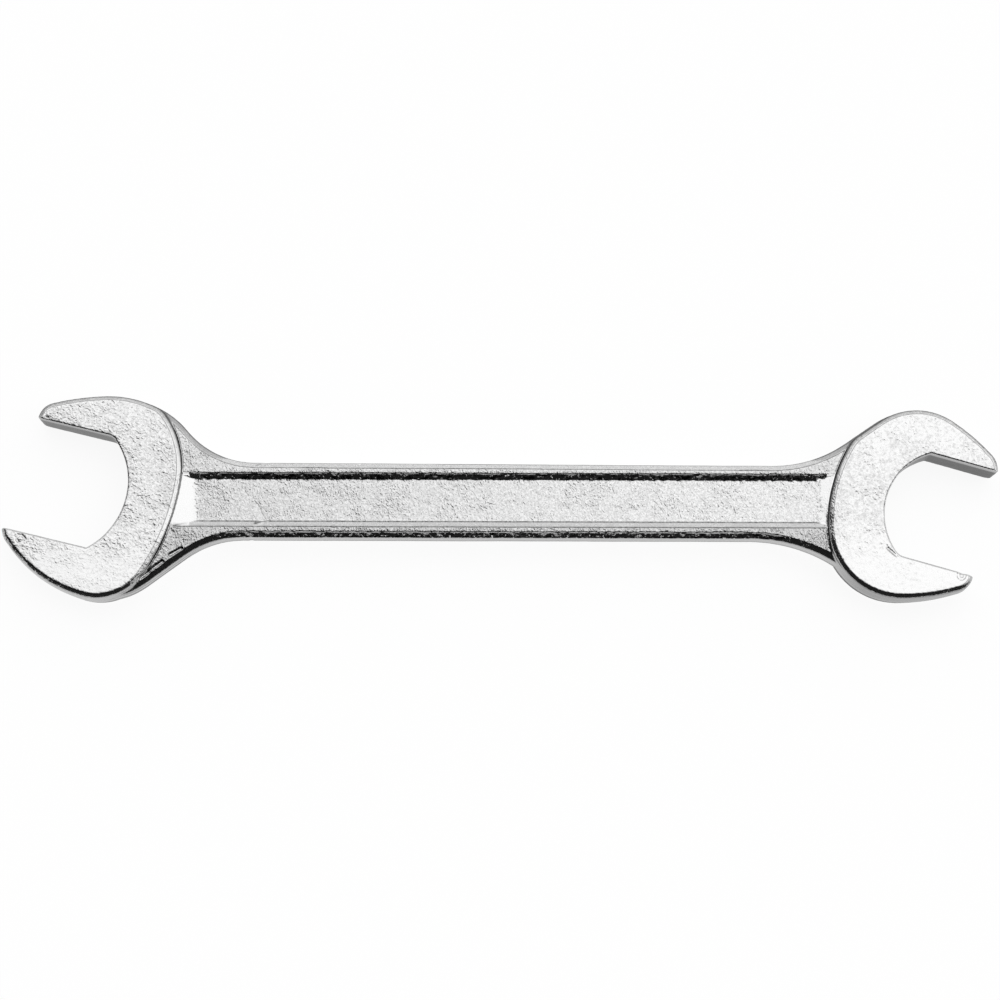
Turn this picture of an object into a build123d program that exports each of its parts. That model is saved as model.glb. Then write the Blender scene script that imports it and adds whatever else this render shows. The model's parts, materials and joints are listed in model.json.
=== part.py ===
"""Double open end wrench: one forged steel bar with an open jaw at each end.

The wrench lies flat. +X runs along the shank towards the small jaw, +Y across the shank and +Z up
through its thickness. All lengths are millimetres and all angles are degrees.
"""

from build123d import *
import os
from math import cos, radians, sin, tan

# Thicknesses of the forging
head_thickness = 6.5
shank_thickness = 4.5
draft_angle = 4.0
head_bevel_width = 0.68
head_bevel_drop = 0.45
shank_bevel_width = 0.95
shank_bevel_drop = 0.62

# Shank: where each of its four long corners would lie without its rounding
shank_low_y = -6.86
large_neck_low_x = -47.95
small_neck_low_x = 52.35
large_neck_high_x = -47.7
small_neck_high_x = 52.25
large_neck_high_y = 5.91
small_neck_high_y = 5.61
neck_inset = 0.3
neck_overlap = 1.3

# Flanks: the runs from the shank out to the heads, and the share that each end's rounding takes
large_low_flank_angle = 36.5
large_high_flank_angle = 50.0
small_low_flank_angle = 44.0
small_high_flank_angle = 34.5
large_low_neck_share = 0.30
large_high_neck_share = 0.48
small_low_neck_share = 0.74
small_high_neck_share = 0.41
large_low_head_share = 0.23
large_high_head_share = 0.50
small_low_head_share = 0.24
small_high_head_share = 0.20

# Panel sunk into both faces of the shank
panel_depth = 0.6
panel_large_end_x = -54.6
panel_small_end_x = 56.4
panel_low_y = -5.05
panel_high_y = 4.0
panel_side_run = 1.1
panel_large_ramp = 3.6
panel_small_ramp = 3.8

# Large head, drawn both ways from its lowest point
large_low_x = -66.43
large_low_y = -17.41
large_low_turn_radius = 9.15
large_step_low_radius = 36.2
large_step_high_radius = 15.7
large_step_corner_radius = 4.0
large_side_radius = 17.4
large_high_prong_radius = 42.0
large_low_prong_radius = 23.2
large_tip_radius = 3.2
large_tip_run = 3.0

# Small head, drawn both ways from its lowest point
small_low_x = 66.34
small_low_y = -17.15
small_low_turn_radius = 12.0
small_high_turn_radius = 10.8
small_step_radius = 25.9
small_step_corner_radius = 4.0
small_flank_radius = 150.0
small_prong_radius = 35.0
small_high_tip_radius = 4.0
small_high_tip_run = 3.0
small_low_tip_radius = 3.1
small_low_tip_run = 2.5

# Turns of the outlines in degrees
large_low_turn_angle = 55.9
large_step_low_turn_angle = 27.9
large_step_high_turn_angle = 42.4
large_step_corner_turn_angle = 26.2
large_side_turn_angle = 29.5
large_high_prong_turn_angle = 12.4
large_high_tip_turn_angle = 52.0
large_low_side_turn_angle = 15.8
large_low_prong_turn_angle = 40.7
large_low_tip_turn_angle = 32.0
small_low_turn_angle = 88.4
small_step_turn_angle = 34.7
small_step_corner_turn_angle = 21.4
small_flank_turn_angle = 2.0
small_high_turn_angle = 68.2
small_high_prong_turn_angle = 14.1
small_high_tip_turn_angle = 43.0
small_low_prong_turn_angle = 16.5
small_low_tip_turn_angle = 52.0

# Jaws: each throat is an arc somewhat wider than the opening
large_jaw_width = 19.1
large_jaw_angle = 13.6
large_throat_x = -62.02
large_throat_y = -0.42
large_throat_margin = 2.95
large_throat_offset = -0.35
large_throat_high_radius = 1.5
large_throat_low_radius = 0.8
small_jaw_width = 18.15
small_jaw_angle = 15.8
small_throat_x = 64.4
small_throat_y = 0.2
small_throat_margin = 1.9
small_throat_offset = -0.35
small_throat_high_radius = 2.5
small_throat_low_radius = 2.0
tip_corner_radius = 0.7
overrun = 2.0


def tangent_chain(start, heading, steps):
    """Draws arcs and straight runs that follow one another without a corner, and returns their end.

    A step is an arc's radius and its turn, left positive, or a straight run's length and no turn.
    """
    point = start
    direction = Vector(1, 0).rotate(Axis.Z, heading)
    for size, turn in steps:
        if turn:
            piece = JernArc(start=point, tangent=direction, radius=size, arc_size=turn)
        else:
            piece = Line(point, point + direction * size)
        point = piece @ 1
        direction = piece % 1
    return point


def head_outline(low_point, forward_steps, backward_steps):
    """A head's closed outline at mid thickness, with a straight line across its mouth."""
    with BuildSketch() as outline:
        with BuildLine():
            forward_end = tangent_chain(low_point, 0, forward_steps)
            backward_end = tangent_chain(low_point, 180, backward_steps)
            Line(forward_end, backward_end)
        make_face()
    return outline.sketch


def forged_blank(outline, thickness, bevel_width, bevel_drop, wall_draft):
    """A plate bevelled along both rims, whose walls lean in from the parting plane both ways."""
    with BuildPart() as blank:
        add(outline)
        extrude(amount=thickness / 2, taper=wall_draft)
        top = blank.faces().sort_by(Axis.Z)[-1]
        chamfer(top.edges(), length=bevel_width, length2=bevel_drop, reference=top)
        mirror(about=Plane.XY)
    return blank.part


def flank(neck, head_y, angle, neck_share, head_share, outward):
    """A flank's corner, its end inside the head, and the radii of its roundings at neck and head."""
    height = abs(head_y - neck[1])
    length = height / sin(radians(angle))
    half_tangent = tan(radians(angle / 2))
    corner_x = neck[0] + outward * height / tan(radians(angle))
    end_x = corner_x + outward * (head_share * length + neck_overlap)
    neck_radius = neck_share * length / half_tangent
    head_radius = head_share * length / half_tangent
    return (corner_x, head_y), (end_x, head_y), neck_radius, head_radius


def jaw_plane(throat_x, throat_y, axis_angle):
    """A jaw's own plane: origin at the bottom of its throat, x out of its mouth."""
    outward = (cos(radians(axis_angle)), sin(radians(axis_angle)))
    return Plane(origin=(throat_x, throat_y), x_dir=outward, z_dir=(0, 0, 1))


def flat_reach(outline, plane, across):
    """How far the head reaches along its jaw's flat."""
    longest = outline.bounding_box().diagonal
    flat = Edge.make_line(
        plane.from_local_coords((0, across, 0)),
        plane.from_local_coords((longest, across, 0)),
    )
    inside = flat.intersect(outline.face())
    return max(plane.to_local_coords(vertex.center()).X for vertex in inside.vertices())


def jaw_cutter(outline, plane, width, margin, offset, high_radius, low_radius):
    """The space of a jaw: throat, two flats, and the rounded corners where the flats end."""
    half = width / 2
    throat_radius = half + margin
    throat_high_x = throat_radius - (throat_radius**2 - (half - offset) ** 2) ** 0.5
    throat_low_x = throat_radius - (throat_radius**2 - (half + offset) ** 2) ** 0.5
    high_x = flat_reach(outline, plane, half)
    low_x = flat_reach(outline, plane, -half)
    mouth_x = max(high_x, low_x) + overrun
    corner_y = half + tip_corner_radius
    with BuildPart() as cutter:
        with BuildSketch(plane) as space:
            with BuildLine():
                ThreePointArc((throat_high_x, half), (0, offset), (throat_low_x, -half))
                Line((throat_low_x, -half), (low_x - tip_corner_radius, -half))
                RadiusArc((low_x - tip_corner_radius, -half), (low_x, -corner_y), tip_corner_radius)
                Polyline(
                    (low_x, -corner_y),
                    (low_x, -corner_y - tip_corner_radius),
                    (mouth_x, -corner_y - tip_corner_radius),
                    (mouth_x, corner_y + tip_corner_radius),
                    (high_x, corner_y + tip_corner_radius),
                    (high_x, corner_y),
                )
                RadiusArc((high_x, corner_y), (high_x - tip_corner_radius, half), tip_corner_radius)
                Line((high_x - tip_corner_radius, half), (throat_high_x, half))
            make_face()
            throat_corners = space.vertices().sort_by(Axis.X)[:2]
            low_corner, high_corner = throat_corners.sort_by(Axis.Y)
            fillet(low_corner, low_radius)
            fillet(high_corner, high_radius)
        extrude(amount=head_thickness, both=True)
    return cutter.part


def panel_cutter():
    """The space of the sunk panel above the shank, with sloping sides and longer end ramps."""
    length = panel_small_end_x - panel_large_end_x
    height = panel_high_y - panel_low_y
    middle = (panel_large_end_x + length / 2, panel_low_y + height / 2)
    floor_length = length - panel_large_ramp - panel_small_ramp
    floor_middle = (panel_large_end_x + panel_large_ramp + floor_length / 2, middle[1])
    with BuildPart() as cutter:
        with BuildSketch(Plane.XY.offset(shank_thickness / 2)):
            with Locations(middle):
                Rectangle(length, height)
        with BuildSketch(Plane.XY.offset(shank_thickness / 2 - panel_depth)):
            with Locations(floor_middle):
                Rectangle(floor_length, height - 2 * panel_side_run)
        loft(ruled=True)
    return cutter.part


large_outline = head_outline(
    Vector(large_low_x, large_low_y),
    [
        (large_low_turn_radius, large_low_turn_angle),
        (large_step_low_radius, large_step_low_turn_angle),
        (large_step_high_radius, large_step_high_turn_angle),
        (large_step_corner_radius, large_step_corner_turn_angle),
        (large_side_radius, large_side_turn_angle),
        (large_high_prong_radius, large_high_prong_turn_angle),
        (large_tip_radius, large_high_tip_turn_angle),
        (large_tip_run, 0),
    ],
    [
        (large_low_turn_radius, -large_low_side_turn_angle),
        (large_low_prong_radius, -large_low_prong_turn_angle),
        (large_tip_radius, -large_low_tip_turn_angle),
        (large_tip_run, 0),
    ],
)
small_outline = head_outline(
    Vector(small_low_x, small_low_y),
    [
        (small_prong_radius, small_low_prong_turn_angle),
        (small_low_tip_radius, small_low_tip_turn_angle),
        (small_low_tip_run, 0),
    ],
    [
        (small_low_turn_radius, -small_low_turn_angle),
        (small_step_radius, -small_step_turn_angle),
        (small_step_corner_radius, -small_step_corner_turn_angle),
        (small_flank_radius, -small_flank_turn_angle),
        (small_high_turn_radius, -small_high_turn_angle),
        (small_prong_radius, -small_high_prong_turn_angle),
        (small_high_tip_radius, -small_high_tip_turn_angle),
        (small_high_tip_run, 0),
    ],
)

# The shank's bar runs into both heads, and follows their highest and lowest points
large_box = large_outline.bounding_box()
small_box = small_outline.bounding_box()
large_bar_low_y = large_box.min.Y + neck_inset
large_bar_high_y = large_box.max.Y - neck_inset
small_bar_low_y = small_box.min.Y + neck_inset
small_bar_high_y = small_box.max.Y - neck_inset
large_neck_low = (large_neck_low_x, shank_low_y)
large_neck_high = (large_neck_high_x, large_neck_high_y)
small_neck_low = (small_neck_low_x, shank_low_y)
small_neck_high = (small_neck_high_x, small_neck_high_y)
large_low_corner, large_low_end, large_low_neck_radius, large_low_head_radius = flank(
    large_neck_low,
    large_bar_low_y,
    large_low_flank_angle,
    large_low_neck_share,
    large_low_head_share,
    -1,
)
large_high_corner, large_high_end, large_high_neck_radius, large_high_head_radius = flank(
    large_neck_high,
    large_bar_high_y,
    large_high_flank_angle,
    large_high_neck_share,
    large_high_head_share,
    -1,
)
small_low_corner, small_low_end, small_low_neck_radius, small_low_head_radius = flank(
    small_neck_low,
    small_bar_low_y,
    small_low_flank_angle,
    small_low_neck_share,
    small_low_head_share,
    1,
)
small_high_corner, small_high_end, small_high_neck_radius, small_high_head_radius = flank(
    small_neck_high,
    small_bar_high_y,
    small_high_flank_angle,
    small_high_neck_share,
    small_high_head_share,
    1,
)

with BuildSketch() as bar_outline:
    with BuildLine():
        FilletPolyline(
            large_low_end,
            large_low_corner,
            large_neck_low,
            small_neck_low,
            small_low_corner,
            small_low_end,
            small_high_end,
            small_high_corner,
            small_neck_high,
            large_neck_high,
            large_high_corner,
            large_high_end,
            radius=[
                0,
                large_low_head_radius,
                large_low_neck_radius,
                small_low_neck_radius,
                small_low_head_radius,
                0,
                0,
                small_high_head_radius,
                small_high_neck_radius,
                large_high_neck_radius,
                large_high_head_radius,
                0,
            ],
            close=True,
        )
    make_face()

panel_above = panel_cutter()
large_plane = jaw_plane(large_throat_x, large_throat_y, 180 - large_jaw_angle)
small_plane = jaw_plane(small_throat_x, small_throat_y, -small_jaw_angle)

with BuildPart() as wrench_forging:
    add(forged_blank(bar_outline.sketch, shank_thickness, shank_bevel_width, shank_bevel_drop, 0))
    add(panel_above, mode=Mode.SUBTRACT)
    add(mirror(panel_above, about=Plane.XY, mode=Mode.PRIVATE), mode=Mode.SUBTRACT)
    add(forged_blank(large_outline, head_thickness, head_bevel_width, head_bevel_drop, draft_angle))
    add(forged_blank(small_outline, head_thickness, head_bevel_width, head_bevel_drop, draft_angle))
    add(
        jaw_cutter(
            large_outline,
            large_plane,
            large_jaw_width,
            large_throat_margin,
            -large_throat_offset,
            large_throat_low_radius,
            large_throat_high_radius,
        ),
        mode=Mode.SUBTRACT,
    )
    add(
        jaw_cutter(
            small_outline,
            small_plane,
            small_jaw_width,
            small_throat_margin,
            small_throat_offset,
            small_throat_high_radius,
            small_throat_low_radius,
        ),
        mode=Mode.SUBTRACT,
    )

box = wrench_forging.part.bounding_box()
wrench_forging.part.move(Location((-box.center().X, -box.center().Y, -box.min.Z)))
wrench_forging.part.label = "wrench_forging"
print("size", box.size)

os.makedirs("parts", exist_ok=True)
export_step(wrench_forging.part, "parts/wrench_forging.step")
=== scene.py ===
"""Looks of the double open end wrench: one bright plated forging lying on a white ground.

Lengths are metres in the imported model's frame. The wrench lies along X with its small jaw at +X. The
photograph was taken from above and a little from -Y, so near means the -Y side here and far the +Y side.
Upright says how squarely a face looks up or down: it is 1 on a flat face and 0 on a plumb wall.
"""

import json
from types import SimpleNamespace

import bpy
import numpy as np
from mathutils import Matrix, Vector, noise
from mathutils.bvhtree import BVHTree


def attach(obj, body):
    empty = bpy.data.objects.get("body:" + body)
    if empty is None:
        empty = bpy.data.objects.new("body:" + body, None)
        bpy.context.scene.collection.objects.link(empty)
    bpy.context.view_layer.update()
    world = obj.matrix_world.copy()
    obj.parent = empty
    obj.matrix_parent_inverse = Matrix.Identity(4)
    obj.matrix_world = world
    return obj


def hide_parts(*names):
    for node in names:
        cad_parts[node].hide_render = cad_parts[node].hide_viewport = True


MM = 0.001

# Camera, as the photograph was taken
CAMERA_PLACE = Vector((-6.31, -68.14, 366.53)) * MM
CAMERA_AIM = Vector((-0.45, 0.14, 3.0)) * MM
CAMERA_LENS = 79.57
SENSOR_WIDTH = 36.0

# Mesh of the forging
WELD_REACH = 0.001 * MM
VOXEL = 0.22 * MM
SMOOTH_FACTOR = 0.5
SMOOTH_STEPS = 3
SOFTEN_STEPS = 2
PLACE_STEPS = 20
TRIANGLES = 190000

# Middle of the thickness, and heights of the faces above it
MIDDLE_Z = 3.25 * MM
RIB_LEVEL = 2.25 * MM
PANEL_LEVEL = 1.65 * MM

# Hammered surface; it only ever sinks into the forging
WAVE_SIZE = 7.0 * MM
WAVE_DEPTH = 0.05 * MM
RIPPLE_SIZE = 1.8 * MM
RIPPLE_DEPTH = 0.02 * MM

# Rougher skin on the shank's near slopes, of which its rims have a share
SKIN_SIZE = 0.85 * MM
SKIN_DEPTH = 0.22 * MM
SKIN_FLATTEST = 0.985
SKIN_FLAT_FADE = 0.06
SKIN_STEEPEST = 0.5
SKIN_STEEP_FADE = 0.2
SKIN_NEAR_FADE = 0.15
SKIN_HEAD_FADE = 0.2 * MM
RIM_SHARE = 0.3
RIM_Y = 6.6 * MM

# Small folds and nicks of the forging: start, end, depth and width, in millimetres
CREASES = (
    ((-60.2, -13.9), (-56.2, -10.8), 0.22, 0.22),
    ((-55.0, -9.7), (-53.1, -8.6), 0.2, 0.2),
    ((-61.0, -14.6), (-58.4, -12.7), 0.12, 0.2),
    ((63.7, -8.4), (65.2, -9.75), 0.08, 0.2),
    ((-76.2, 13.4), (-75.7, 13.2), 0.1, 0.25),
    ((-41.1, 5.3), (-39.1, 6.0), 0.07, 0.22),
    ((-40.7, -1.2), (-40.0, -2.9), 0.04, 0.22),
    ((-41.1, -4.5), (-38.9, -3.6), 0.06, 0.22),
    ((-41.9, -7.1), (-41.9, -6.6), 0.1, 0.3),
)
# Small round marks: middle, radius, depth and width, in millimetres
RINGS = (
    ((-79.5, -7.2), 0.6, 0.1, 0.2),
    ((75.8, -13.0), 0.55, 0.1, 0.2),
)

# Spans of how upright a face is, over which it passes from one kind to the next
WALL_UPRIGHT = (0.6, 0.8)
FAR_WALL_UPRIGHT = (0.74, 0.92)
SLOPE_FOOT_UPRIGHT = (0.6, 0.75)
SLOPE_TOP_UPRIGHT = (0.9, 0.96)
RIM_UPRIGHT = (0.88, 0.93)
LINE_UPRIGHT = (0.978, 0.99)
JAW_LINE_UPRIGHT = (0.985, 0.998)

# Span of the Y part of a face's normal, over which it passes from near to far
FAR_FACING = (-0.2, 0.2)

# Spans of height from the middle: onto a head, out of the panel, and the foot of a head's step, where shade
# is painted
HEAD_RISE = (RIB_LEVEL + 0.2 * MM, RIB_LEVEL + 0.6 * MM)
RIB_RISE = (PANEL_LEVEL + 0.35 * MM, RIB_LEVEL - 0.05 * MM)
FOOT_START = (RIB_LEVEL + 0.02 * MM, RIB_LEVEL + 0.08 * MM)
FOOT_END = (RIB_LEVEL + 0.3 * MM, RIB_LEVEL + 0.45 * MM)

# Spans along and across the wrench
FOOT_X = (58.5 * MM, 59.5 * MM)
FOOT_Y = (11.0 * MM, 12.0 * MM)
OUTSIDE_Y = (6.4 * MM, 6.8 * MM)
SHANK_X = (-57.0 * MM, -53.0 * MM)
SMALL_HEAD_X = (54.0 * MM, 60.0 * MM)
LARGE_HALF_X = (-1.0 * MM, 1.0 * MM)

# Ramps at the panel's ends and their corners, placed by how far they lie from the panel's middle
PANEL_MIDDLE_X = 1.0 * MM
RAMP_START = (52.9 * MM, 54.1 * MM)
RAMP_RAGGED = 3.5 * MM
RAMP_Y = (4.0 * MM, 5.0 * MM)
CORNER_START = (52.8 * MM, 53.4 * MM)

# Jaws: half the width of each, how far their walls reach from the middle, and a margin
LARGE_JAW_HALF = 9.55 * MM
SMALL_JAW_HALF = 9.08 * MM
JAW_REACH = 11.5 * MM
JAW_MARGIN = 0.25 * MM

# Textures: features per metre, detail and, where it isn't even, turn about Z, stretch and distortion
HEAD_STREAKS = dict(scale=1.8 / MM, detail=1.5, turn=0.96, stretch=(1.0, 1.2, 1.0), distortion=0.6)
SHANK_STREAKS = dict(scale=2.1 / MM, detail=1.5, turn=0.1, stretch=(0.75, 1.3, 1.0), distortion=0.8)
DOTS = dict(scale=1.6 / MM, detail=1.0)
GRAIN = dict(scale=3.5 / MM, detail=2.0)
SPECKS = dict(scale=2.0 / MM, detail=3.0)
PATCHES = dict(scale=0.3 / MM, detail=2.0)
CLOUDS = dict(scale=0.12 / MM, detail=2.0)
MOTTLE = dict(scale=2.6 / MM, detail=1.0)
SPOTS = dict(scale=1.5 / MM, detail=1.5)
RAGGED = dict(scale=1.2 / MM, detail=3.0)
WANDER = dict(scale=0.22 / MM, detail=1.0)

# Relief of the plating: its depth, and shares of it by texture and by place
RELIEF_DEPTH = 0.1 * MM
GRAIN_SHARE = 0.4
LARGE_RAMP_CALM = 0.75
SMALL_RAMP_CALM = 0.65
SMALL_HEAD_RELIEF = 1.15
LOW_PRONG_Y = (-12.0 * MM, -6.0 * MM)
LOW_PRONG_RELIEF = (0.42, 1.0)
PATCH_SPAN = (0.35, 0.65)
PATCH_RELIEF = (0.6, 1.25)
WALL_RELIEF = (1.0, 0.2)
SPECK_SPAN = (0.62, 0.72)
SPECK_RELIEF = (-0.5, 2.4)
RIM_RELIEF = -0.5
RIB_RELIEF_Y = (-5.0 * MM, -3.0 * MM)
RIB_RELIEF = (0.9, 0.35)

# Shades of the flats, and where they change; a head's high side and its clouds add to its shade. The
# changes across Y are painted light and shade: the heads lighter on their low prongs and high side, the
# near rib darker
PANEL_SHADE_X = (-50.0 * MM, 50.0 * MM)
PANEL_SHADES = (0.79, 0.87)
RIB_SHADE_Y = (-5.0 * MM, 5.0 * MM)
RIB_PAINTED_SHADES = (0.69, 0.78)
HEAD_LOW_Y = (-12.0 * MM, -3.0 * MM)
HEAD_LOW_PAINTED_LIGHT = (1.06, 0.88)
HEAD_HIGH_Y = (6.0 * MM, 12.0 * MM)
HEAD_HIGH_PAINTED_LIGHT = (0.0, 0.03)
CLOUD_SPAN = (0.3, 0.7)
CLOUD_SHADES = (-0.04, 0.04)
PIT_SPAN = (0.36, 0.52)
PIT_SHADE = 0.85
SMALL_HEAD_PIT_SHADE = 0.84
MOTTLE_SPAN = (0.35, 0.65)
MOTTLE_SHADES = (0.9, 1.08)
SPOT_SPAN = (0.36, 0.6)
SPOT_SHADES = (0.91, 1.1)
FACE_GAIN = 1.04
SMALL_HEAD_GAIN = 1.08
BRIGHTEST = 0.97

# Shades of slopes, bevels, end ramps and the feet of the steps, and how dark the edge lines are painted;
# all but the end ramps' shade are painted light, shade or reflection
# Painted light on the far-facing slopes off the heads
FAR_SLOPE_PAINTED_LIGHT = 0.85
# Painted highlight on the heads' bevels
BEVEL_PAINTED_HIGHLIGHT = 0.95
RAMP_SHADE = 0.96
# Painted shade in the concave corner at the foot of the steps
FOOT_PAINTED_SHADE = 0.02
# Painted dark reflection along the edge lines: near, far, on the heads and at the jaws
EDGE_REFLECTION_SPAN = (0.35, 0.55)
FAR_EDGE_REFLECTION = (0.8, 0.55)
NEAR_EDGE_REFLECTION = 0.9
HEAD_EDGE_REFLECTION = 0.5
FAR_JAW_EDGE_REFLECTION = 0.5
NEAR_JAW_EDGE_REFLECTION = 0.92

# Shades of the trimmed walls and of the jaws' walls, darker at the foot as painted shade; the far walls are
# painted darker too
NEAR_WALL_SHADE = 0.46
SMALL_HEAD_WALL_SHADE = 0.3
# Painted shade: the far walls darker, and all walls darker towards their foot
FAR_WALL_PAINTED_SHADE = 0.24
WALL_FOOT_Z = (0.2 * MM, 2.4 * MM)
WALL_FOOT_PAINTED_SHADE = (0.5, 1.0)
# Painted shade low on the jaws' walls, with a painted highlight along their top
JAW_SHADE_Z = (4.7 * MM, 5.5 * MM)
JAW_WALL_PAINTED_SHADES = (0.17, 0.6)

# Two long folds in the near wall beside the large head, painted in as dark lines of shade on the near walls
# only, not shaped in the mesh
FOLD_LEVELS = (3.6 * MM, 5.0 * MM)
FOLD_WANDER = 2.0 * MM
FOLD_WIDTH = (0.1 * MM, 0.4 * MM)
FOLD_PAINTED_SHADE = (0.75, 0.0)
FOLD_START_X = (-66.0 * MM, -63.0 * MM)
FOLD_END_X = (-53.0 * MM, -46.0 * MM)

# Gloss: tint of grazing reflections, partly the walls' dullness and partly painted shade, darker on the far
# walls, low on the near walls and in the jaws; and roughness
NEAR_TINT_Z = (1.2 * MM, 3.2 * MM)
NEAR_PAINTED_SHADE_TINTS = (0.4, 0.9)
FAR_PAINTED_SHADE_TINT = 0.25
JAW_PAINTED_SHADE_TINT = 0.6
ROUGH_SPAN = (0.35, 0.65)
ROUGHNESS = (0.16, 0.1)
WALL_ROUGHNESS = 0.12

# Ground
FLOOR_SIZE = 6.0
FLOOR_COLOUR = 0.16
FLOOR_GLOW = 0.91

# Sky: bright overhead and on the far side, dark on the near side
LEAN_BY_X = 0.45
LEAN_BY_Y = 0.9
LEAN_BY_LOW = 0.25
LOW_SPAN = (0.5, 1.0)
LOW_LEAN = (0.0, 0.75)
DARK_SPAN = (-0.25, 0.0)
DARK_LEVELS = (0.012, 0.92)
BRIGHT_SPAN = (0.0, 0.2)
BRIGHT_LEVELS = (0.0, 0.1)
# A grey ring stands above the ground, and a dimmer shelf behind the far side
RING_TOP = (0.3, 0.35)
RING_LEVELS = (0.52, 0.0)
RING_FOOT = (0.0, 0.2)
RING_FOOT_SHARE = (0.35, 1.0)
SHELF_FOOT = (0.24, 0.3)
SHELF_TOP = (0.55, 0.75)
SHELF_FRONT = (0.6, 0.8)
SHELF_SHARE = (1.0, 0.65)

# Values of a ramp that falls, and the whole span of a mask
FALL = (1.0, 0.0)
WHOLE = (0.0, 1.0)

# Places of a mix node's sockets: its factor and two numbers, its two vectors, and the vector it gives
MIX_NUMBERS = (0, 2, 3)
MIX_VECTORS = (4, 5)
MIX_VECTOR_RESULT = 1

WHITE = (1, 1, 1, 1)


def node(tree, kind, **settings):
    made = tree.nodes.new(kind)
    for name, value in settings.items():
        setattr(made, name, value)
    return made


def link(tree, source, target):
    tree.links.new(source, target)


def feed(tree, value, target):
    """Gives an input a field or a plain number."""
    if isinstance(value, Field):
        link(tree, value.socket, target)
    else:
        target.default_value = value


def reckon(tree, operation, *values):
    """A field worked out from fields and plain numbers."""
    made = node(tree, "ShaderNodeMath", operation=operation)
    for target, value in zip(made.inputs, values):
        feed(tree, value, target)
    return Field(tree, made.outputs[0])


class Field:
    """A number that differs from point to point, worked out by a node tree."""

    def __init__(self, tree, socket):
        self.tree = tree
        self.socket = socket

    def __add__(self, other):
        return reckon(self.tree, "ADD", self, other)

    def __sub__(self, other):
        return reckon(self.tree, "SUBTRACT", self, other)

    def __rsub__(self, other):
        return reckon(self.tree, "SUBTRACT", other, self)

    def __mul__(self, other):
        return reckon(self.tree, "MULTIPLY", self, other)

    def __abs__(self):
        return reckon(self.tree, "ABSOLUTE", self)

    def ramp(self, span, values=(0.0, 1.0), kind="SMOOTHSTEP"):
        """Passes from the first value to the second as this field crosses the span."""
        made = node(self.tree, "ShaderNodeMapRange", interpolation_type=kind)
        feed(self.tree, self, made.inputs["Value"])
        made.inputs["From Min"].default_value = span[0]
        made.inputs["From Max"].default_value = span[1]
        made.inputs["To Min"].default_value = values[0]
        made.inputs["To Max"].default_value = values[1]
        return Field(self.tree, made.outputs["Result"])


def larger(first, second):
    return reckon(first.tree, "MAXIMUM", first, second)


def smaller(first, second):
    return reckon(first.tree, "MINIMUM", first, second)


def mix(factor, first, second):
    """The first value where the factor is nought, and the second where it is one."""
    made = node(factor.tree, "ShaderNodeMix")
    for place, value in zip(MIX_NUMBERS, (factor, first, second)):
        feed(factor.tree, value, made.inputs[place])
    return Field(factor.tree, made.outputs[0])


def split(tree, vector):
    """The three parts of a vector."""
    made = node(tree, "ShaderNodeSeparateXYZ")
    link(tree, vector, made.inputs[0])
    return [Field(tree, part) for part in made.outputs]


def grey(tree, shade):
    """A colour with the same shade in red, green and blue."""
    made = node(tree, "ShaderNodeCombineColor")
    for channel in made.inputs:
        feed(tree, shade, channel)
    return made.outputs[0]


def texture(tree, at, scale, detail, turn=0.0, stretch=(1.0, 1.0, 1.0), distortion=0.0):
    mapping = node(tree, "ShaderNodeMapping", vector_type="TEXTURE")
    mapping.inputs["Rotation"].default_value = (0.0, 0.0, turn)
    mapping.inputs["Scale"].default_value = stretch
    link(tree, at, mapping.inputs["Vector"])
    made = node(tree, "ShaderNodeTexNoise")
    made.inputs["Scale"].default_value = scale
    made.inputs["Detail"].default_value = detail
    made.inputs["Distortion"].default_value = distortion
    link(tree, mapping.outputs["Vector"], made.inputs["Vector"])
    return Field(tree, made.outputs["Fac"])


def empty_material(name):
    """A material without any node yet, and its tree."""
    material = bpy.data.materials.new(name)
    material.use_nodes = True
    material.node_tree.nodes.clear()
    return material, material.node_tree


def jaw_mask(tree, at, mount, half_width):
    """One inside a jaw's opening and on its walls, nought elsewhere."""
    outward = Vector(mount["axis"])
    sideways = Vector((-outward.y, outward.x, 0))
    offset = node(tree, "ShaderNodeVectorMath", operation="SUBTRACT")
    link(tree, at, offset.inputs[0])
    offset.inputs[1].default_value = Vector(mount["pos_m"])
    masks = []
    for direction, reach in ((sideways, half_width), (outward, JAW_REACH)):
        along = node(tree, "ShaderNodeVectorMath", operation="DOT_PRODUCT")
        link(tree, offset.outputs[0], along.inputs[0])
        along.inputs[1].default_value = direction
        distance = abs(Field(tree, along.outputs["Value"]))
        masks.append(distance.ramp((reach + JAW_MARGIN, reach + 2 * JAW_MARGIN), FALL))
    return masks[0] * masks[1]


def jaws_mask(tree, at, mounts):
    """One at either jaw, nought elsewhere."""
    large = jaw_mask(tree, at, mounts["large_jaw"], LARGE_JAW_HALF)
    small = jaw_mask(tree, at, mounts["small_jaw"], SMALL_JAW_HALF)
    return larger(large, small)


def step_foot_shade_mask(level, x, aside):
    """One on the foot of the steps from the shank up to the heads, where shade is painted, nought
    elsewhere.
    """
    foot = level.ramp(FOOT_START) * level.ramp(FOOT_END, FALL)
    return foot * abs(x).ramp(FOOT_X, FALL) * aside.ramp(FOOT_Y, FALL)


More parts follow.
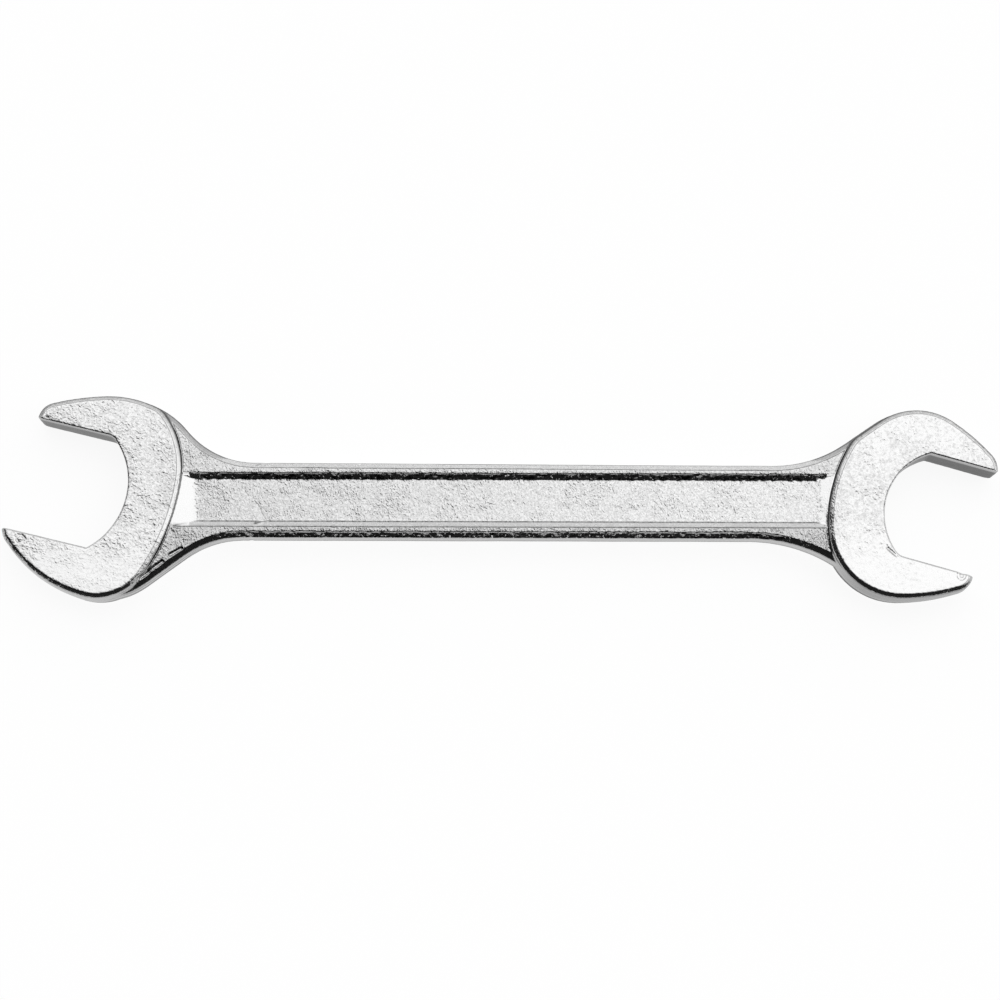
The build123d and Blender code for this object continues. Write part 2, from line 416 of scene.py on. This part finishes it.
def regions(tree, mounts):
    """Where a point of the surface lies, and masks that are one in each region of the wrench."""
    at = node(tree, "ShaderNodeTexCoord").outputs["Object"]
    x, y, z = split(tree, at)
    _, facing_y, facing_z = split(tree, node(tree, "ShaderNodeNewGeometry").outputs["Normal"])
    upright = abs(facing_z)
    level = abs(z - MIDDLE_Z)
    aside = abs(y)
    along = abs(x - PANEL_MIDDLE_X)

    far = facing_y.ramp(FAR_FACING)
    on_head = level.ramp(HEAD_RISE)
    off_head = on_head.ramp(WHOLE, FALL)
    outside = larger(on_head, aside.ramp(OUTSIDE_Y))
    far_wall = upright.ramp(FAR_WALL_UPRIGHT, FALL) * (far * outside)
    wall = larger(upright.ramp(WALL_UPRIGHT, FALL), far_wall)
    slope = upright.ramp(SLOPE_TOP_UPRIGHT, FALL) * upright.ramp(SLOPE_FOOT_UPRIGHT)

    ragged = texture(tree, at, **RAGGED) * RAMP_RAGGED
    on_ramp = (ragged + along).ramp(RAMP_START) * off_head * aside.ramp(RAMP_Y, FALL)
    corner = along.ramp(CORNER_START) * off_head * (slope * aside.ramp(OUTSIDE_Y, FALL))
    at_jaw = jaws_mask(tree, at, mounts)
    return SimpleNamespace(
        at=at,
        x=x,
        y=y,
        z=z,
        facing_z=facing_z,
        far=far,
        on_head=on_head,
        off_head=off_head,
        outside=outside,
        on_rib=level.ramp(RIB_RISE),
        on_shank=x.ramp(SHANK_X),
        on_small_head=x.ramp(SMALL_HEAD_X),
        in_large_half=x.ramp(LARGE_HALF_X, FALL),
        wall=wall,
        slope=slope,
        edge_line=upright.ramp(LINE_UPRIGHT, FALL) * upright.ramp(RIM_UPRIGHT),
        jaw_line=upright.ramp(JAW_LINE_UPRIGHT, FALL),
        on_ramp=on_ramp,
        corner=corner,
        foot=step_foot_shade_mask(level, x, aside),
        at_jaw=at_jaw,
        jaw_wall=at_jaw * wall,
    )


def hammered_relief(tree, where, streaks, grain):
    """Height of the streaks, dots, grain and specks, calmer on the end ramps and on the walls."""
    calm = where.on_ramp * mix(where.in_large_half, SMALL_RAMP_CALM, LARGE_RAMP_CALM)
    calm = calm * where.slope.ramp(WHOLE, FALL)
    specks = texture(tree, where.at, **SPECKS).ramp(SPECK_SPAN, SPECK_RELIEF)
    specks = mix(where.far, mix(where.outside, specks, RIM_RELIEF), 0.0)
    rougher_rib = where.y.ramp(RIB_RELIEF_Y, RIB_RELIEF) * (where.on_rib * (1.0 - where.slope))
    rougher = (where.slope * specks + rougher_rib) * where.off_head

    height = (streaks + grain * GRAIN_SHARE) * (1.0 - calm)
    height = height * where.y.ramp(LOW_PRONG_Y, LOW_PRONG_RELIEF)
    height = height * mix(where.on_small_head, 1.0, SMALL_HEAD_RELIEF)
    height = height * texture(tree, where.at, **PATCHES).ramp(PATCH_SPAN, PATCH_RELIEF)
    height = height * where.wall.ramp(WHOLE, WALL_RELIEF)
    return height * (rougher + 1.0)


def surface_normal(tree, where, height):
    """The normal with the relief on it, turned straight up where the end ramps pass into the slopes."""
    bump = node(tree, "ShaderNodeBump")
    bump.inputs["Strength"].default_value = 1.0
    bump.inputs["Distance"].default_value = RELIEF_DEPTH
    feed(tree, height, bump.inputs["Height"])
    upward = node(tree, "ShaderNodeCombineXYZ")
    feed(tree, reckon(tree, "SIGN", where.facing_z), upward.inputs["Z"])
    faired = node(tree, "ShaderNodeMix", data_type="VECTOR")
    feed(tree, where.corner, faired.inputs["Factor"])
    for place, vector in zip(MIX_VECTORS, (bump.outputs["Normal"], upward.outputs[0])):
        link(tree, vector, faired.inputs[place])
    unit = node(tree, "ShaderNodeVectorMath", operation="NORMALIZE")
    link(tree, faired.outputs[MIX_VECTOR_RESULT], unit.inputs[0])
    return unit.outputs[0]


def flat_shade(tree, where, grain):
    """Shade of the heads, ribs and panel, with clouds, pits and mottle in it, and painted light and shade
    across the heads and ribs.
    """
    panel = where.x.ramp(PANEL_SHADE_X, PANEL_SHADES)
    # Painted shade: the near rib darker than the far one
    rib = where.y.ramp(RIB_SHADE_Y, RIB_PAINTED_SHADES)
    # Painted light: the heads lighter on their low prongs and on their high side
    head = where.y.ramp(HEAD_LOW_Y, HEAD_LOW_PAINTED_LIGHT) + where.y.ramp(HEAD_HIGH_Y, HEAD_HIGH_PAINTED_LIGHT)
    head = head + texture(tree, where.at, **CLOUDS).ramp(CLOUD_SPAN, CLOUD_SHADES)
    pits = larger(grain.ramp(PIT_SPAN), mix(where.on_small_head, PIT_SHADE, SMALL_HEAD_PIT_SHADE))
    mottle = texture(tree, where.at, **MOTTLE).ramp(MOTTLE_SPAN, MOTTLE_SHADES)
    spots = texture(tree, where.at, **SPOTS).ramp(SPOT_SPAN, SPOT_SHADES)
    shade = mix(where.on_head, mix(where.on_rib, panel, rib), head)
    shade = shade * pits * mix(where.on_small_head, mottle, spots)
    return smaller(shade * mix(where.on_small_head, FACE_GAIN, SMALL_HEAD_GAIN), BRIGHTEST)


def painted_edge_reflection(where, streaks):
    """How dark the edge lines are painted, as dark reflection: one is black."""
    reflection_dark = mix(where.far, NEAR_EDGE_REFLECTION, streaks.ramp(EDGE_REFLECTION_SPAN, FAR_EDGE_REFLECTION))
    reflection_dark = where.edge_line * mix(where.on_head, reflection_dark, HEAD_EDGE_REFLECTION)
    return mix(where.at_jaw, reflection_dark, where.jaw_line * mix(where.far, NEAR_JAW_EDGE_REFLECTION, FAR_JAW_EDGE_REFLECTION))


def wall_shade(tree, where):
    """Shade of the trimmed walls, with the long folds beside the large head; the far walls, the foot of
    each wall and the folds carry painted shade.
    """
    near = mix(where.on_small_head, NEAR_WALL_SHADE, SMALL_HEAD_WALL_SHADE)
    shade = mix(where.far, near, FAR_WALL_PAINTED_SHADE) * where.z.ramp(WALL_FOOT_Z, WALL_FOOT_PAINTED_SHADE)
    wander = texture(tree, where.at, **WANDER) * FOLD_WANDER + where.z
    for level in FOLD_LEVELS:
        # Painted shade along the two folds, on the near walls only
        fold_shade = mix(where.far, abs(wander - level).ramp(FOLD_WIDTH, FOLD_PAINTED_SHADE), 0.0)
        fold_shade = fold_shade * where.x.ramp(FOLD_START_X) * where.x.ramp(FOLD_END_X, FALL)
        shade = shade * (1.0 - fold_shade)
    return shade


def plated_steel(mounts):
    """Bright plating over the hammered forging; the trimmed walls are duller than the faces and carry
    painted shade, and painted light, shade and reflection lie on the flats, slopes, bevels and edges.
    """
    material, tree = empty_material("plated_steel")
    where = regions(tree, mounts)
    streaks = mix(
        where.on_shank, texture(tree, where.at, **HEAD_STREAKS), texture(tree, where.at, **SHANK_STREAKS)
    )
    streaks = mix(where.on_small_head, streaks, texture(tree, where.at, **DOTS))
    grain = texture(tree, where.at, **GRAIN)

    shade = flat_shade(tree, where, grain)
    # Painted light on the far-facing slopes off the heads
    shade = mix(where.slope * (where.far * where.off_head), shade, FAR_SLOPE_PAINTED_LIGHT)
    # Painted dark reflection along the edge lines
    shade = shade * (1.0 - painted_edge_reflection(where, streaks))
    # Painted highlight on the heads' bevels
    shade = mix(where.on_head * where.slope, shade, BEVEL_PAINTED_HIGHLIGHT)
    shade = mix(where.on_ramp, shade, RAMP_SHADE)
    # Painted shade on the far walls and towards the foot of the walls
    shade = mix(where.wall, shade, wall_shade(tree, where))
    # Painted shade low on the jaws' walls and a painted highlight along their top
    shade = mix(where.jaw_wall, shade, where.z.ramp(JAW_SHADE_Z, JAW_WALL_PAINTED_SHADES))
    # Painted shade in the concave corner at the foot of the steps
    shade = mix(where.foot, shade, FOOT_PAINTED_SHADE)
    # Reflection tint dimmed on the walls: partly their dullness, partly painted shade on the far walls, low
    # on the near walls and in the jaws
    tint = mix(where.wall, 1.0, mix(where.far, where.z.ramp(NEAR_TINT_Z, NEAR_PAINTED_SHADE_TINTS), FAR_PAINTED_SHADE_TINT))
    tint = mix(where.jaw_wall, tint, JAW_PAINTED_SHADE_TINT)
    roughness = grain.ramp(ROUGH_SPAN, ROUGHNESS) + where.wall * WALL_ROUGHNESS
    height = hammered_relief(tree, where, streaks, grain)

    shader = node(tree, "ShaderNodeBsdfPrincipled")
    shader.inputs["Metallic"].default_value = 1.0
    link(tree, grey(tree, shade), shader.inputs["Base Color"])
    link(tree, grey(tree, tint), shader.inputs["Specular Tint"])
    feed(tree, roughness, shader.inputs["Roughness"])
    link(tree, surface_normal(tree, where, height), shader.inputs["Normal"])
    output = node(tree, "ShaderNodeOutputMaterial")
    link(tree, shader.outputs["BSDF"], output.inputs["Surface"])
    return material


def face_normals(places, corners):
    """Each triangle's unit normal and its area."""
    first = places[corners[:, 0]]
    spread = np.cross(places[corners[:, 1]] - first, places[corners[:, 2]] - first)
    length = np.maximum(np.linalg.norm(spread, axis=1), np.finfo(float).tiny)
    return spread / length[:, None], length / 2


def neighbours(corners):
    """For each triangle the three across its edges."""
    starts = corners.reshape(-1)
    ends = np.roll(corners, -1, axis=1).reshape(-1)
    key = np.minimum(starts, ends) * (corners.max() + 1) + np.maximum(starts, ends)
    order = np.argsort(key, kind="stable")
    owner = order // 3
    same = np.nonzero(key[order][:-1] == key[order][1:])[0]
    across = np.arange(len(order)) // 3
    across[order[same]] = owner[same + 1]
    across[order[same + 1]] = owner[same]
    return across.reshape(-1, 3)


def mesh_arrays(mesh):
    """A triangle mesh's points, and the three points of each triangle."""
    points = np.empty(len(mesh.vertices) * 3)
    mesh.vertices.foreach_get("co", points)
    corners = np.empty(len(mesh.loops), dtype=np.int64)
    mesh.loops.foreach_get("vertex_index", corners)
    return points.reshape(-1, 3), corners.reshape(-1, 3)


def model_normals(model, places):
    """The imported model's own smooth normals, each taken at its nearest point to a place."""
    points, corners = mesh_arrays(model)
    normals = np.empty(len(model.loops) * 3)
    model.corner_normals.foreach_get("vector", normals)
    normals = normals.reshape(-1, 3, 3)
    tree = BVHTree.FromPolygons(points.tolist(), corners.tolist())
    hits = [tree.find_nearest(place) for place in places.tolist()]
    index = np.array([hit[2] for hit in hits])
    first, second, third = (points[corners[index, corner]] for corner in range(3))
    along = second - first
    aside = third - first
    offset = np.array([tuple(hit[0]) for hit in hits]) - first
    along_along = (along * along).sum(axis=1)
    along_aside = (along * aside).sum(axis=1)
    aside_aside = (aside * aside).sum(axis=1)
    offset_along = (offset * along).sum(axis=1)
    offset_aside = (offset * aside).sum(axis=1)
    whole = along_along * aside_aside - along_aside**2
    whole = np.maximum(whole, np.finfo(float).tiny)
    second_share = (aside_aside * offset_along - along_aside * offset_aside) / whole
    third_share = (along_along * offset_aside - along_aside * offset_along) / whole
    shares = np.stack((1 - second_share - third_share, second_share, third_share), axis=1)
    blend = (normals[index] * np.clip(shares, 0, 1)[..., None]).sum(axis=1)
    return blend / np.linalg.norm(blend, axis=1)[:, None]


def align(places, corners, model):
    """Moves the mesh until its triangles face as the model's surface does, with edges a little soft."""
    _, areas = face_normals(places, corners)
    normals = model_normals(model, places[corners].mean(axis=1))
    around = neighbours(corners)
    for _ in range(SOFTEN_STEPS):
        total = (normals[around] * areas[around][..., None]).sum(axis=1) + normals * areas[:, None]
        normals = total / np.linalg.norm(total, axis=1)[:, None]
    flat = corners.reshape(-1)
    count = np.bincount(flat, minlength=len(places))
    for _ in range(PLACE_STEPS):
        corner_places = places[corners]
        gap = corner_places.mean(axis=1)[:, None] - corner_places
        reach = (gap * normals[:, None]).sum(axis=2)
        shift = (normals[:, None] * reach[..., None]).reshape(-1, 3)
        for axis in range(3):
            places[:, axis] += np.bincount(flat, shift[:, axis], len(places)) / count
    return places


def mark_depths(places):
    """How deep the small folds, nicks and round marks go at each place on the upper side."""
    points = places[:, :2] / MM
    depth = np.zeros(len(points))
    for start, end, deep, wide in CREASES:
        start = np.array(start)
        run = np.array(end) - start
        share = np.clip((points - start) @ run / (run @ run), 0, 1)
        distance = np.linalg.norm(points - start - share[:, None] * run, axis=1)
        depth += deep * np.exp(-((distance / wide) ** 2))
    for middle, radius, deep, wide in RINGS:
        distance = np.linalg.norm(points - np.array(middle), axis=1) - radius
        depth += deep * np.exp(-((distance / wide) ** 2))
    return depth * MM * (places[:, 2] > MIDDLE_Z / 2)


def faded(inside, fade):
    """Rises from nought to one as a point lies further inside a limit, over the length of the fade."""
    return min(max(inside / fade, 0), 1)


def skin_share(place, normal):
    """One on the shank's near slopes, less on its near rims, nought on flats, walls and heads."""
    upright = abs(normal.z)
    level = abs(place.z - MIDDLE_Z)
    share = faded(SKIN_FLATTEST - upright, SKIN_FLAT_FADE) * faded(upright - SKIN_STEEPEST, SKIN_STEEP_FADE)
    share *= faded(-normal.y, SKIN_NEAR_FADE)
    share *= RIM_SHARE if abs(place.y) > RIM_Y else 1
    return share * faded(RIB_LEVEL + SKIN_HEAD_FADE - level, SKIN_HEAD_FADE)


def swell(place, size, depth):
    """Height over the plain shape, from minus the depth up to nought, in swells of about the size."""
    return (noise.noise(place / size) - 1) * depth / 2


def even_mesh(source):
    """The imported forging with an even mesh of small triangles, a little smoothed."""
    rough = bpy.data.objects.new("rough", source.data.copy())
    bpy.context.scene.collection.objects.link(rough)
    weld = rough.modifiers.new("weld", "WELD")
    weld.merge_threshold = WELD_REACH
    remesh = rough.modifiers.new("remesh", "REMESH")
    remesh.mode = "VOXEL"
    remesh.voxel_size = VOXEL
    smooth = rough.modifiers.new("smooth", "SMOOTH")
    smooth.factor = SMOOTH_FACTOR
    smooth.iterations = SMOOTH_STEPS
    rough.modifiers.new("triangles", "TRIANGULATE")
    depsgraph = bpy.context.evaluated_depsgraph_get()
    mesh = bpy.data.meshes.new_from_object(rough.evaluated_get(depsgraph))
    bpy.data.objects.remove(rough)
    return mesh


def hammer(mesh, places):
    """Sinks the swells, the skin and the small marks of the forging into the mesh."""
    marks = mark_depths(places).tolist()
    normals = [vertex.normal.copy() for vertex in mesh.vertices]
    for vertex, normal, mark in zip(mesh.vertices, normals, marks):
        wave = swell(vertex.co, WAVE_SIZE, WAVE_DEPTH)
        ripple = swell(vertex.co, RIPPLE_SIZE, RIPPLE_DEPTH)
        skin = swell(vertex.co, SKIN_SIZE, SKIN_DEPTH) * skin_share(vertex.co, normal)
        vertex.co += normal * (wave + ripple + skin - mark)


def fewer_triangles(mesh):
    """The same surface with at most TRIANGLES triangles, fewest where it is flattest."""
    dense = bpy.data.objects.new("dense", mesh)
    bpy.context.scene.collection.objects.link(dense)
    decimate = dense.modifiers.new("decimate", "DECIMATE")
    decimate.ratio = min(TRIANGLES / len(mesh.polygons), 1.0)
    depsgraph = bpy.context.evaluated_depsgraph_get()
    light = bpy.data.meshes.new_from_object(dense.evaluated_get(depsgraph))
    bpy.data.objects.remove(dense)
    return light


def forging():
    """The whole wrench, which is one piece."""
    source = frame["nodes"]["wrench_forging"]
    mounts = {mount["name"]: mount for mount in frame["record"]["mounts"]}
    mesh = even_mesh(source)
    places = align(*mesh_arrays(mesh), source.data)
    mesh.vertices.foreach_set("co", places.reshape(-1))
    mesh.update()
    hammer(mesh, places)
    mesh = fewer_triangles(mesh)
    for polygon in mesh.polygons:
        polygon.use_smooth = True
    mesh.materials.clear()
    mesh.materials.append(plated_steel(mounts))
    piece = bpy.data.objects.new("wrench", mesh)
    bpy.context.scene.collection.objects.link(piece)
    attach(piece, "root")
    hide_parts("wrench_forging")


def camera():
    data = bpy.data.cameras.new("camera")
    data.lens = CAMERA_LENS
    data.sensor_width = SENSOR_WIDTH
    eye = bpy.data.objects.new("camera", data)
    forward = (CAMERA_AIM - CAMERA_PLACE).normalized()
    right = forward.cross(Vector((0, 1, 0))).normalized()
    upward = right.cross(forward)
    turn = Matrix((right, upward, -forward)).transposed()
    eye.matrix_world = Matrix.Translation(CAMERA_PLACE) @ turn.to_4x4()
    bpy.context.scene.collection.objects.link(eye)
    bpy.context.scene.camera = eye


def white_ground():
    """Material that keeps the wrench's shadow and looks white, in reflections too."""
    material, tree = empty_material("floor")
    diffuse = node(tree, "ShaderNodeBsdfDiffuse")
    diffuse.inputs["Color"].default_value = (FLOOR_COLOUR, FLOOR_COLOUR, FLOOR_COLOUR, 1)
    glow = node(tree, "ShaderNodeEmission")
    glow.inputs["Color"].default_value = WHITE
    rays = node(tree, "ShaderNodeLightPath").outputs
    seen = larger(Field(tree, rays["Is Camera Ray"]), Field(tree, rays["Is Glossy Ray"]))
    seen = larger(seen, Field(tree, rays["Is Transmission Ray"]))
    feed(tree, seen * FLOOR_GLOW, glow.inputs["Strength"])
    both = node(tree, "ShaderNodeAddShader")
    link(tree, diffuse.outputs[0], both.inputs[0])
    link(tree, glow.outputs[0], both.inputs[1])
    output = node(tree, "ShaderNodeOutputMaterial")
    link(tree, both.outputs[0], output.inputs["Surface"])
    return material


def floor():
    data = bpy.data.meshes.new("floor")
    half = FLOOR_SIZE / 2
    corners = [(-half, -half, 0), (half, -half, 0), (half, half, 0), (-half, half, 0)]
    data.from_pydata(corners, [], [(0, 1, 2, 3)])
    data.materials.append(white_ground())
    ground = bpy.data.objects.new("floor", data)
    bpy.context.scene.collection.objects.link(ground)


def sky_level(tree):
    """How bright the sky is in each direction.

    A direction's lean is how far it lies from the dark side, and a low direction leans less.
    """
    x, y, z = split(tree, node(tree, "ShaderNodeTexCoord").outputs["Generated"])
    low = 1.0 - z
    lean = x * LEAN_BY_X + y * LEAN_BY_Y - low * LEAN_BY_LOW - low.ramp(LOW_SPAN, LOW_LEAN, "LINEAR")
    level = lean.ramp(DARK_SPAN, DARK_LEVELS, "LINEAR") + lean.ramp(BRIGHT_SPAN, BRIGHT_LEVELS, "LINEAR")
    level = larger(level, z.ramp(RING_TOP, RING_LEVELS)) * z.ramp(RING_FOOT, RING_FOOT_SHARE)
    shelf = z.ramp(SHELF_FOOT) * z.ramp(SHELF_TOP, FALL) * y.ramp(SHELF_FRONT)
    return level * shelf.ramp(WHOLE, SHELF_SHARE, "LINEAR")


def sky():
    """Lights the wrench with bright and dark sides, and is plain white to the camera."""
    world = bpy.data.worlds.new("studio")
    bpy.context.scene.world = world
    world.use_nodes = True
    tree = world.node_tree
    tree.nodes.clear()
    lit = node(tree, "ShaderNodeBackground")
    lit.inputs["Color"].default_value = WHITE
    feed(tree, sky_level(tree), lit.inputs["Strength"])
    white = node(tree, "ShaderNodeBackground")
    white.inputs["Color"].default_value = WHITE
    choice = node(tree, "ShaderNodeMixShader")
    link(tree, node(tree, "ShaderNodeLightPath").outputs["Is Camera Ray"], choice.inputs[0])
    link(tree, lit.outputs[0], choice.inputs[1])
    link(tree, white.outputs[0], choice.inputs[2])
    output = node(tree, "ShaderNodeOutputWorld")
    link(tree, choice.outputs[0], output.inputs["Surface"])


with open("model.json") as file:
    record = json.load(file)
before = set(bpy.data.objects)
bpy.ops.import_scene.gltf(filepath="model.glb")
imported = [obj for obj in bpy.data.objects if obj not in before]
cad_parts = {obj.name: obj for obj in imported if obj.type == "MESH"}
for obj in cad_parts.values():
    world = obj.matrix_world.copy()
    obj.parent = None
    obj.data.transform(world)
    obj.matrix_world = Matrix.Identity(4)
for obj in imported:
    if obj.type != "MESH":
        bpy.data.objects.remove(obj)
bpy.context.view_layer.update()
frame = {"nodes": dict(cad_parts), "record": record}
bpy.context.scene.view_settings.view_transform = "Standard"
camera()
forging()
floor()
sky()
